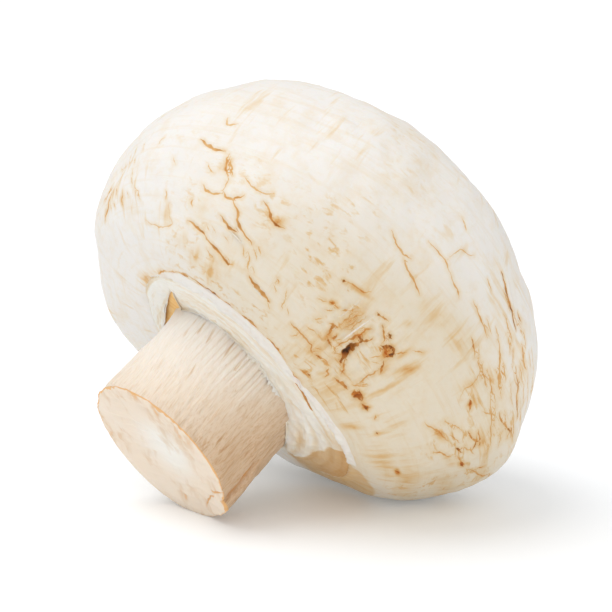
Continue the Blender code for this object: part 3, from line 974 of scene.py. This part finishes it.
def stem_material(stem):
    """Fibrous flesh along the side, warmer towards its near side and the cut, partly as painted shade, with painted
    shade in its furrows, and a paler cut with a thin dried rim.
    """
    paint = Paint("stem_flesh", **FLESH_GLOW, Specular_IOR_Level=0.25)
    coarse = paint.noise(paint.own_axis((1, 1, 12)), 3200, 2, 0.6, 0.15)
    fine = paint.noise(paint.own_axis((1, 1, 9)), 8000, 2, 0.6, 0.1)
    fleck = paint.noise(paint.own_axis((1, 1, 7)), 1500, 2, 0.5)
    patch = paint.noise(paint.place(), 140, 3)
    cut, depth, shade, warmth_and_shade = (paint.field(name) for name in ("cut", "depth", "shade", "warmth_and_shade"))

    # the warmth here is partly painted shade on the stem's shaded side
    dye = warmth_and_shade * 1.15 + 0.25 * (patch - 0.5) + coarse.between(0.46, 0.72) * (0.05 + 0.40 * warmth_and_shade)
    # painted shade in the furrows between strands
    dye = dye + fine.between(0.48, 0.70) * (0.08 + 0.34 * warmth_and_shade) + paint.field("furrow_shade") * 0.38
    dye = dye + fleck.between(0.60, 0.72) * patch.between(0.48, 0.6) * 0.8 + shade * 0.5
    side = paint.steeped(stem.flesh, dye.most(0.0), stem.fibre)
    side = paint.mix(shade.between(0.15, 0.75) * (0.6 + 0.5 * coarse), side, stem.rim)

    streak = paint.noise(paint.scaled(paint.place(), (1.0, 1.0, 0.09)), 520, 3, 0.6)
    face = paint.mix(depth.between(0.10, 0.62), stem.pith, stem.cut)
    face = paint.steeped(face, streak.between(0.50, 0.72) * 0.45, stem.fibre)
    face = paint.mix(patch.between(0.45, 0.7) * 0.18, face, stem.pith)
    face = paint.mix((depth + (patch - 0.5) * 0.07).between(0.975, 0.995) * 0.6, face, stem.rim)
    face = paint.mix((streak.between(0.62, 0.70) * (depth + patch - 0.5).between(0.55, 0.9)) * 0.6, face, stem.rim)

    colour = paint.mix(cut, side, face)
    colour = paint.mix((paint.field("rim") + 1.4 * (patch - 0.5)).between(0.30, 0.80) * 0.85, colour, stem.rim)
    paint.feed("Base Color", colour)
    paint.feed("Roughness", 0.66 + 0.1 * (coarse - 0.5))
    height = (1 - cut) * (0.10 * coarse + 0.05 * fine) + cut * 0.04 * streak + 0.03 * patch
    paint.relief(height, 0.5)
    return paint.material


def veil_material(veil):
    """A pale membrane with faint streaks along its stretch, painted shade in its folds, margin groove and underside
    band, and a dark slit.
    """
    paint = Paint("veil_membrane", **VEIL_GLOW, Specular_IOR_Level=0.25)
    stretch = paint.noise(paint.scaled(paint.field("grain", "Vector"), (0.12, 0.12, 1.0)), 1300, 4, 0.6, 0.2)
    cloud = paint.noise(paint.place(), 220, 3)
    # the slit's dark line: partly its dried edge's colour, partly painted shade of the gap
    split = 1 - (paint.field("gash") + 0.10 * (stretch - 0.5)).between(0.17, 0.25)
    # the shade field brings its painted shade into this dye
    dye = stretch.between(0.46, 0.74) * 0.55 + cloud.between(0.50, 0.72) * 0.3 + paint.field("shade") * 1.3
    paint.feed("Base Color", paint.steeped(veil.membrane, dye + split * 2.3, veil.shade))
    paint.feed("Roughness", 0.6 + 0.1 * cloud)
    paint.relief(0.10 * stretch + 0.06 * cloud, 0.6)
    return paint.material


# ---------------------------------------------------------------- operators


class MUSHROOM_OT_cap(bpy.types.Operator):
    """Make the cap: its skin from the crown to the margin, the rim's inside and the hollow's ceiling"""

    bl_idname = "mushroom.cap"
    bl_label = "Cap"

    def execute(self, context):
        cap, stem = context.scene.mushroom_cap, context.scene.mushroom_stem
        bearing = around(*CAP_COLUMNS, gain=1.5)[None, :]
        crown = np.linspace(88.6, 20, 24, endpoint=False)
        shoulder = np.linspace(20, 0, 26, endpoint=False)
        roll = np.append(-spaced(0, 90, 125, 55, 22, 1.0), -90)
        latitude = np.radians(np.concatenate((crown, shoulder, roll)))[:, None]
        degrees, north = np.degrees(bearing), np.degrees(latitude)
        base = cap_surface(cap, bearing, latitude)
        out = normals(base)

        # broad swellings and lumps, the ruffled bruise, and the cracks, ridges and island of torn skin
        swell = uneven(base, CAP_SWELLS)
        for (east, middle), spread, tall, rise in LUMPS:
            swell = swell + rise * np.exp(-(((north - middle) / tall) ** 2)) * bump(bearing, east, spread)
        bruised = bump(bearing, *BRUISE) * window(latitude, -1.35, -1.1, -0.75, -0.5)
        swell = (swell - 0.1 + 0.07 * bruised * ripple(base, 0.9 * MM, 8)) * window(north, -90, -84, 80, 90)
        marks, apart, near, width, tone, pale = crack_fields(cap, base, out, 11)
        (east, middle), (wide, tall), standing = ISLAND
        island = 1 - ((degrees - east) / wide) ** 2 - ((north - middle) / tall) ** 2
        marks = marks + standing * np.sqrt(np.clip(island, 0, 1))
        fray = 0.07 * smooth(north, -84, -88) * ripple(base, 1.1 * MM, 10)
        skin = base + out * (swell + marks + fray)[..., None] * MM

        # how creamy, pale, brown and finely ringed the skin is, and which way its fibres run
        cream_share = 0.95 * bump(bearing, 272, 72) * smooth(-north, -8, 45)
        cream_share = cream_share + 0.22 * bump(bearing, 292, 45) + 0.12 * bump(bearing, 240, 45) + 0.10 * ripple(base, 22 * MM, 6)
        seam, limit = at_bearings(degrees, SEAM), at_bearings(degrees, UNDERSIDE_BROWN_AND_SHADE)
        hem = smooth(north, seam, seam - 1.2) * (1 - smooth(degrees, 298, 308))
        # skin near the table on the near side takes the inside colour: partly its own brown, partly painted shade
        underside_brown_and_shade = smooth(north, limit, limit - 2) * (1 - smooth(degrees, 355, 372))
        ringed = window(degrees, 256, 272, 318, 332) * window(latitude, -0.75, -0.4, 0.15, 0.45)
        turned = np.broadcast_to(polar(22 * MM, bearing, 0)[..., :2], base.shape[:2] + (2,))
        climbed = np.broadcast_to(latitude * 20 * MM, base.shape[:2])[..., None]
        grain = np.concatenate((turned, climbed), axis=-1)

        # inside the rim: the margin's ragged lip, the rim's wall, and the gills, nearer the veil at its tear
        shallow = window(degrees % 360, 92, 104, 172, 182)
        foot = margin_height(cap, bearing) + LIP
        ragged = 0.05 * MM * ripple(base[-1:], 0.9 * MM, 9)
        inside = [polar((cap.margin - 0.15 * LIP) * cap_lobe(bearing), bearing, foot - 0.85 * LIP + ragged)]
        top = margin_height(cap, bearing) + (0.5 - 0.3 * shallow) * MM
        for share in (0.0, 0.5, 1.0):
            height = foot - 0.3 * MM + (top - foot + 0.3 * MM) * share
            inside.append(polar(wall_radius(cap, height, bearing), bearing, height))
        radius, height = veil_sheet(cap, stem, bearing, np.linspace(0.06, 1.35, 14)[:, None])
        gills = (0.05 * np.cos(150 * bearing) + 0.36 + 1.0 * (1 - shallow)) * MM
        inside.append(polar(radius, bearing, height + gills))
        inside.append(polar(0.006 * cap_lobe(bearing), bearing, np.full_like(bearing, CEILING)))
        inside = np.concatenate(inside)
        whole = np.concatenate((skin, inside))
        rows = len(inside)

        def extended(values, last):
            return np.concatenate((values, np.broadcast_to(last, (rows,) + values.shape[1:])))

        fields = {
            "apart": extended(apart, FAR_OFF),
            "near": extended(near, FAR_OFF),
            "width": extended(width, 0.0),
            "tone": extended(tone, 0.0),
            "cream_share": extended(np.clip(cream_share, 0, 1), 0.5),
            # the hem's pale also goes on the ridges' crests, partly as painted highlight
            "hem": extended(np.maximum(hem, 0.85 * pale), hem[-1:]),
            "ringed": extended(ringed, 0.0),
            "hanging": np.broadcast_to(smooth(swing(bearing, 318), 0.2, 0.6), whole.shape[:2]),
            "stain": extended(stain_field(cap, base), 0.0),
            "comb": extended(np.broadcast_to(1 - smooth(latitude, 0.6, 1.25), cream_share.shape), 1.0),
            "inner": extended(underside_brown_and_shade, smooth(np.arange(rows), 1, 3)[:, None]),
            "grain": extended(grain, grain[-1:]),
        }
        crown, ceiling = placed(np.array((0, 0, cap.crown))), placed(np.array((0, 0, CEILING)))
        made = grid_mesh("cap_skin", on_table(placed(whole)), cap_material(cap), crown, ceiling, fields=fields)
        keep(made, "cap_skin", "cap")
        return {"FINISHED"}


def ribbon_points(cap, start, stop, half, rise, seed):
    """A torn fibre lying on the skin: 14 stations along it by 5 across. Its width tapers to both ends as a sine, it
    stands off the skin by the rise in its middle, and its section is a low arch."""
    rng = np.random.default_rng(seed)
    line = np.radians(subdivided((start, stop), rng, rounds=2, wander=0.05))
    share = np.linspace(0, 1, 14)
    east = np.interp(share, np.linspace(0, 1, len(line)), line[:, 0])
    north = np.interp(share, np.linspace(0, 1, len(line)), line[:, 1])
    track = cap_surface(cap, east, north)
    out = cap_surface(cap, east, north + 0.01) - track
    away = cap_surface(cap, east + 0.01, north) - track
    up = np.cross(away, out)
    up /= np.linalg.norm(up, axis=1, keepdims=True)
    run = np.gradient(track, axis=0)
    side = np.cross(up, run)
    side /= np.linalg.norm(side, axis=1, keepdims=True)
    swell = (np.sin(math.pi * np.clip(share, 0.04, 0.97)) ** 0.45)[:, None, None]
    across = np.linspace(-1, 1, 5)[None, :, None]
    arch = rise * (1 - 0.6 * across**2) * swell - 0.06
    return track[:, None] + side[:, None] * across * half * swell * MM + up[:, None] * arch * MM


class MUSHROOM_OT_flakes(bpy.types.Operator):
    """Make the torn fibres that lie on the cap's skin"""

    bl_idname = "mushroom.flakes"
    bl_label = "Flakes"

    def execute(self, context):
        cap = context.scene.mushroom_cap
        points, faces = [], []
        for seed, (start, stop, half, rise) in enumerate(FIBRES):
            grid = ribbon_points(cap, start, stop, half, rise, seed)
            index = np.arange(grid[..., 0].size).reshape(grid.shape[:2])
            faces += quads(index + seed * index.size)
            points.append(grid.reshape(-1, 3))
        whole = np.concatenate(points)
        stain = 0.5 * stain_field(cap, whole)
        fields = {"near": FAR_OFF, "apart": FAR_OFF, "cream_share": 0.6, "comb": 1.0, "stain": stain[:, None]}
        fields = {key: np.broadcast_to(np.float32(value), (len(whole), 1)) for key, value in fields.items()}
        made = mesh_object("cap_flakes", placed(whole), faces, cap_material(cap), fields)
        shell = made.modifiers.new("thickness", "SOLIDIFY")
        shell.thickness = 0.08 * MM
        shell.offset = -1
        keep(made, "cap_skin")
        return {"FINISHED"}


class MUSHROOM_OT_stem(bpy.types.Operator):
    """Make the stem: its fibrous side and its cut face"""

    bl_idname = "mushroom.stem"
    bl_label = "Stem"

    def execute(self, context):
        stem = context.scene.mushroom_stem
        bearing = around(*STEM_COLUMNS)[None, :]
        side = np.linspace(0, 1, 100)[:, None]
        height = STEM_ROOT + (STEM_CUT + CUT_LIP - STEM_ROOT) * side
        radius = np.broadcast_to(stem_radius(stem, height), (len(side), bearing.shape[1]))
        base = bent_stem(radius, bearing, np.broadcast_to(height, radius.shape))
        out = normals(base)

        # long fine ridges, and coarser strands, |cos| of a wavering phase, down to a frayed line
        (wide, tall), (end, ragged, soft) = STRAND_SIZE, FRINGE
        ring = polar(STRAND_RING * MM, bearing, 0)
        fringe = end + ragged * ripple(ring, 0.9 * MM, 30)
        upper = smooth(height, fringe - soft, fringe + soft) * (0.12 + 0.88 * bump(bearing, *STRANDED))
        phase = bearing * STRAND_RING / wide * math.pi
        phase = phase + 0.9 * ripple(ring, 2.0 * MM, 23) + uneven(base, ((0.25, 2.5, 29, 0.12),))
        strand = np.abs(np.cos(phase))
        # the furrows between strands, which the material darkens as painted shade
        furrow_shade = upper * smooth(strand, 0.62, 0.12)
        strands = tall * upper * (strand - 0.55) * (1 + 0.35 * ripple(ring, 1.3 * MM, 31))

        # a strip of skin that has peeled at the cut, beside a bell-shaped groove
        place, back, half = PEEL
        apart = np.radians(np.degrees(bearing) - place + back * (1 - smooth(side, 0.72, 0.98))) * radius / MM
        peeled = smooth(side, 0.66, 0.86)
        groove = np.exp(-((apart / half) ** 2)) * peeled * (1 - 0.8 * smooth(side, 0.955, 0.99))
        lifted = 0.5 * window(apart, 0.1, 0.7, 1.6, 3.4) * peeled - 0.95 * groove
        nibbled = 0.04 * smooth(side, 0.95, 1) * ripple(base, 1.6 * MM, 27)
        nibbled = nibbled + 0.03 * smooth(side, 0.97, 1) * ripple(base, 0.7 * MM, 28)
        worn = 0.3 + 0.7 * smooth(side, 1.0, 0.97)
        rise = (uneven(base, STEM_RIDGES) + strands + uneven(base, STEM_LUMPS)) * worn + lifted + nibbled - 0.06
        skin = base + out * rise[..., None] * MM
        # warmer towards the near side and the cut: partly the flesh's own colour, partly painted shade on the shaded
        # side
        warmth_and_shade = smooth(0.75 * bump(bearing, 296, 52) + 0.60 * side, 0.12, 1.25) * (1 - 0.55 * upper)

        # the cut: rows that shrink from the skin's last one to its middle
        share = np.concatenate((np.linspace(0.992, 0.90, 8), np.linspace(0.885, 0.04, 58)))[:, None]
        brim = skin[-1:]
        centre = brim.mean(axis=1, keepdims=True)
        cut = centre + (brim - centre) * share[..., None]
        flat = polar(share * CUT_REACH, bearing, 0).reshape(-1, 3)
        cracks = np.zeros(len(flat))
        for seed, path in enumerate(CUT_CRACKS):
            east, far = np.array(path).T
            line = polar(far * CUT_REACH, np.radians(east), 0)
            line = subdivided(line[:, :2], np.random.default_rng(seed))
            apart, along = line_distance(flat, np.column_stack((line, np.zeros(len(line)))))
            crack = np.exp(-((apart / (0.11 * MM)) ** 2)) * np.sin(math.pi * (0.15 + 0.7 * along))
            cracks = np.maximum(cracks, crack)
        cracks = cracks.reshape(cut.shape[:2])
        inward = 0.05 * ripple(cut * np.array((1, 0.25, 0.25)), 1.2 * MM, 25) + 0.07 * ripple(cut, 4 * MM, 26)
        corner = bump(bearing, 316, 15) * smooth(share, 0.74, 0.86)
        dish = 0.22 * (1 - share**2) + 0.24 * cracks - 0.34 * corner
        cut[..., 2] -= (0.16 * smooth(share, 1.0, 0.95) - dish + inward * smooth(share, 1.0, 0.8)) * MM
        upper_side = 0.75 + 0.35 * swing(bearing, 190)
        start_of_rim = 0.974 + 0.010 * ripple(polar(9 * MM, bearing, 0), 1.1 * MM, 35)
        dried = smooth(share, start_of_rim, start_of_rim + 0.016) * upper_side + 1.3 * cracks

        none, one = np.zeros(cut.shape[:2]), np.ones(cut.shape[:2])
        fields = {
            "cut": (np.zeros(skin.shape[:2]), one),
            "depth": (np.ones(skin.shape[:2]), one * share),
            "rim": (smooth(side, 0.992, 1.0) * upper_side, dried),
            "shade": (np.clip(groove * 1.5, 0, 1), none),
            "furrow_shade": (furrow_shade, none),
            "warmth_and_shade": (warmth_and_shade, none),
        }
        fields = {key: np.concatenate(halves) for key, halves in fields.items()}
        whole = on_table(placed(np.concatenate((skin, cut))))
        start, end = placed(np.array((0, 0, STEM_ROOT))), placed(cut[-1].mean(axis=0))
        keep(grid_mesh("stem_body", whole, stem_material(stem), start, end, fields=fields), "stem_flesh", "stem")
        return {"FINISHED"}


class MUSHROOM_OT_veil(bpy.types.Operator):
    """Make the veil: the membrane between the cap's margin and the stem, torn open on one side"""

    bl_idname = "mushroom.veil"
    bl_label = "Veil"

    def execute(self, context):
        cap, stem, veil = context.scene.mushroom_cap, context.scene.mushroom_stem, context.scene.mushroom_veil
        bearing = around(*VEIL_COLUMNS)[None, :]
        degrees = np.degrees(bearing)

        # from the margin to the stem, its columns pulled round beside the tear
        gap, pulled = tear(bearing)
        loose = smooth(gap, 0, 0.3 * MM)
        across = np.linspace(0, 1, 48)[:, None] ** 1.2
        swept = bearing + pulled * across ** at_bearings(degrees, TEAR_CURL)
        radius, height = veil_sheet(cap, stem, swept, across, gap)

        # a toothed hem that lies down on the stem
        end = swept[-1:]
        teeth = 0.22 * np.abs(ripple(polar(8 * MM, bearing, 0), 0.6 * MM, 33)) * bump(bearing, 232, 34)
        hem = np.linspace(0, 1, 12)[1:, None]
        low = height[-1:] - hem * ((0.15 + teeth) * (1 - loose) + 0.03) * MM
        off = radius[-1:] - stem_side(stem, height[-1:], end)
        close = stem_side(stem, low, end) + off * (1 - 0.9 * hem)
        low_radius = close + (radius[-1:] - 0.12 * MM * hem - close) * loose
        radius, height = np.concatenate((radius, low_radius)), np.concatenate((height, low))
        swept = np.concatenate((swept, np.broadcast_to(end, low.shape)))
        reach = np.concatenate((across, np.ones_like(hem)))
        front = polar(radius, swept, height)
        out = normals(front)

        # folds, pleats on the near side and the slit
        along = np.arange(len(front))[:, None] / len(front)
        near = window(degrees, 272, 290, 330, 345)
        folds = uneven(front, VEIL_DRAPE) * smooth(along, 0.1, 0.6) + uneven(front, VEIL_FOLDS)
        tall, close, middle, spread = PLEATS
        pleats = tall * near * np.sin(close * along + 0.6 * np.sin(3 * bearing))
        pleats = pleats * np.exp(-(((along - middle) / spread) ** 2))
        rise = (folds + pleats) * smooth(along, 0, 0.06) * (1 - 0.8 * smooth(along, 0.8, 1))
        front = front + out * rise[..., None] * MM
        line = subdivided(SLIT, np.random.default_rng(41), wander=0.08)
        east, far = np.radians(line[:, 0]), line[:, 1] / 100
        level, drop = veil_sheet(cap, stem, east, far)
        apart, share = line_distance(front.reshape(-1, 3), polar(level, east, drop))
        apart = (apart / MM + 0.16 * (1 - np.sin(math.pi * share) ** 0.3)).reshape(front.shape[:2])
        half, deep = SLIT_SIZE
        front = front - out * (deep * np.exp(-((apart / half) ** 2)))[..., None] * MM

        # the back, closer to the front at the free edges
        thick = veil.thickness * (1 - 0.65 * loose) * (1 - 0.85 * smooth(reach, 0.9, 1.0))
        back = (front - normals(front) * thick[..., None])[::-1]

        # shade: a tint along the margin and on the near side, painted shade in the groove beside the margin about
        # bearing 146 (partly its fuzz) and in the pleats' hollows, and tan out from the margin on the near and table
        # sides, partly the cap's underside colour and partly painted shade
        edge = 0.15 * (1 - smooth(along, 0.0, 0.05)) + 0.45 * bump(bearing, 146, 18) * (1 - smooth(along, 0.10, 0.22))
        limit = at_bearings(degrees, UNDERSIDE_TAN) + 0.012 * ripple(front, 1.6 * MM, 35)
        under = 1 - smooth(reach, limit - 0.03, limit + 0.03)
        edge = edge + 0.8 * under + 0.35 * near * (1 - smooth(along, 0.1, 0.45)) + 3.0 * np.maximum(-pleats, 0)
        arc = np.broadcast_to(along * 6 * MM, front.shape[:2])
        arc = np.concatenate((arc, arc[::-1]))
        ring = np.broadcast_to(polar(12 * MM, bearing, 0)[..., :2], arc.shape + (2,))
        fields = {
            "shade": np.concatenate((edge, np.full(back.shape[:2], 0.1))),
            "gash": np.concatenate((np.minimum(apart, 1), np.ones(back.shape[:2]))),
            "grain": np.concatenate((ring, arc[..., None]), axis=-1),
        }
        whole = placed(np.concatenate((front, back)))
        made = grid_mesh("veil_skin", whole, veil_material(veil), loop_rows=True, fields=fields)
        keep(made, "veil_membrane", "veil")
        return {"FINISHED"}


class MUSHROOM_OT_stage(bpy.types.Operator):
    """Make the pale table, the soft light and the camera"""

    bl_idname = "mushroom.stage"
    bl_label = "Stage"

    def execute(self, context):
        scene, stage = context.scene, context.scene.mushroom_stage
        scene.view_settings.view_transform = "Standard"
        scene.view_settings.look = "None"

        paint = Paint(
            "table_top", Specular_IOR_Level=0.0, Roughness=0.9, Emission_Strength=0.10, Emission_Color=TABLE_GLOW
        )
        grain = paint.noise(paint.place(), 8, 2)
        paint.feed("Base Color", paint.mix(grain * 0.04, stage.floor, [channel * 0.97 for channel in stage.floor]))
        x, y = np.meshgrid(*[np.linspace(-TABLE_REACH, TABLE_REACH, 41)] * 2)
        flat = np.stack((x, y, np.full_like(x, -TABLE_DROP)), axis=-1)
        floor = grid_mesh("table_top", flat, paint.material, closed=False)
        floor.data.flip_normals()

        # a white room, which the camera sees at full white
        world = bpy.data.worlds.new("white_room")
        scene.world = world
        world.use_nodes = True
        nodes, links = world.node_tree.nodes, world.node_tree.links
        room, wall = nodes["Background"], nodes.new("ShaderNodeBackground")
        for light, strength in ((room, stage.sky), (wall, 1.0)):
            light.inputs["Color"].default_value = (1, 1, 1, 1)
            light.inputs["Strength"].default_value = strength
        seen, both = nodes.new("ShaderNodeLightPath"), nodes.new("ShaderNodeMixShader")
        links.new(seen.outputs["Is Camera Ray"], both.inputs[0])
        links.new(room.outputs[0], both.inputs[1])
        links.new(wall.outputs[0], both.inputs[2])
        links.new(both.outputs[0], nodes["World Output"].inputs["Surface"])

        level = math.cos(stage.elevation)
        look = Vector((level * math.cos(stage.azimuth), level * math.sin(stage.azimuth), -math.sin(stage.elevation)))
        right = Vector((math.sin(stage.azimuth), -math.cos(stage.azimuth), 0))
        middle = Vector(GIRTH_CENTRE) + right * AIM[0] + right.cross(look) * AIM[1]

        for name, (aside, ahead, above), share, spread in LAMPS:
            light = bpy.data.lights.new(name, "SUN")
            light.energy = share * stage.key
            light.angle = math.radians(spread)
            light.color = LAMP_COLOUR
            lamp = bpy.data.objects.new(name, light)
            toward = right * aside + look * ahead + Vector((0, 0, above))
            lamp.rotation_euler = (-toward).to_track_quat("-Z", "Y").to_euler()
            scene.collection.objects.link(lamp)

        camera = bpy.data.cameras.new("camera")
        camera.sensor_width = 36
        camera.lens = stage.lens
        camera.clip_start, camera.clip_end = 0.01, 200
        eye = bpy.data.objects.new("camera", camera)
        eye.location = middle - look * stage.distance
        eye.rotation_euler = look.to_track_quat("-Z", "Y").to_euler()
        scene.collection.objects.link(eye)
        scene.camera = eye
        return {"FINISHED"}


class MUSHROOM_PT_parts(bpy.types.Panel):
    """The mushroom's pieces and their settings"""

    bl_label = "Button mushroom"
    bl_idname = "MUSHROOM_PT_parts"
    bl_space_type = "VIEW_3D"
    bl_region_type = "UI"
    bl_category = "Mushroom"

    def draw(self, context):
        for name, operator in PIECES:
            box = self.layout.box()
            settings = getattr(context.scene, name) if name else None
            for key in getattr(type(settings), "__annotations__", {}):
                box.prop(settings, key)
            box.operator(operator)


# What the panel lists: settings and the operator that uses them.
PIECES = (
    ("mushroom_cap", "mushroom.cap"),
    (None, "mushroom.flakes"),
    ("mushroom_stem", "mushroom.stem"),
    ("mushroom_veil", "mushroom.veil"),
    ("mushroom_stage", "mushroom.stage"),
)

SETTINGS = {
    "mushroom_cap": CapSettings,
    "mushroom_stem": StemSettings,
    "mushroom_veil": VeilSettings,
    "mushroom_stage": StageSettings,
}

CLASSES = (
    CapSettings,
    StemSettings,
    VeilSettings,
    StageSettings,
    MUSHROOM_OT_cap,
    MUSHROOM_OT_flakes,
    MUSHROOM_OT_stem,
    MUSHROOM_OT_veil,
    MUSHROOM_OT_stage,
    MUSHROOM_PT_parts,
)


def register():
    for made in CLASSES:
        bpy.utils.register_class(made)
    for name, settings in SETTINGS.items():
        setattr(bpy.types.Scene, name, bpy.props.PointerProperty(type=settings))


def unregister():
    for name in SETTINGS:
        delattr(bpy.types.Scene, name)
    for made in reversed(CLASSES):
        bpy.utils.unregister_class(made)


def main():
    """Makes everything."""
    register()
    bpy.ops.mushroom.cap()
    bpy.ops.mushroom.flakes()
    bpy.ops.mushroom.stem()
    bpy.ops.mushroom.veil()
    bpy.ops.mushroom.stage()


if __name__ == "__main__":
    main()
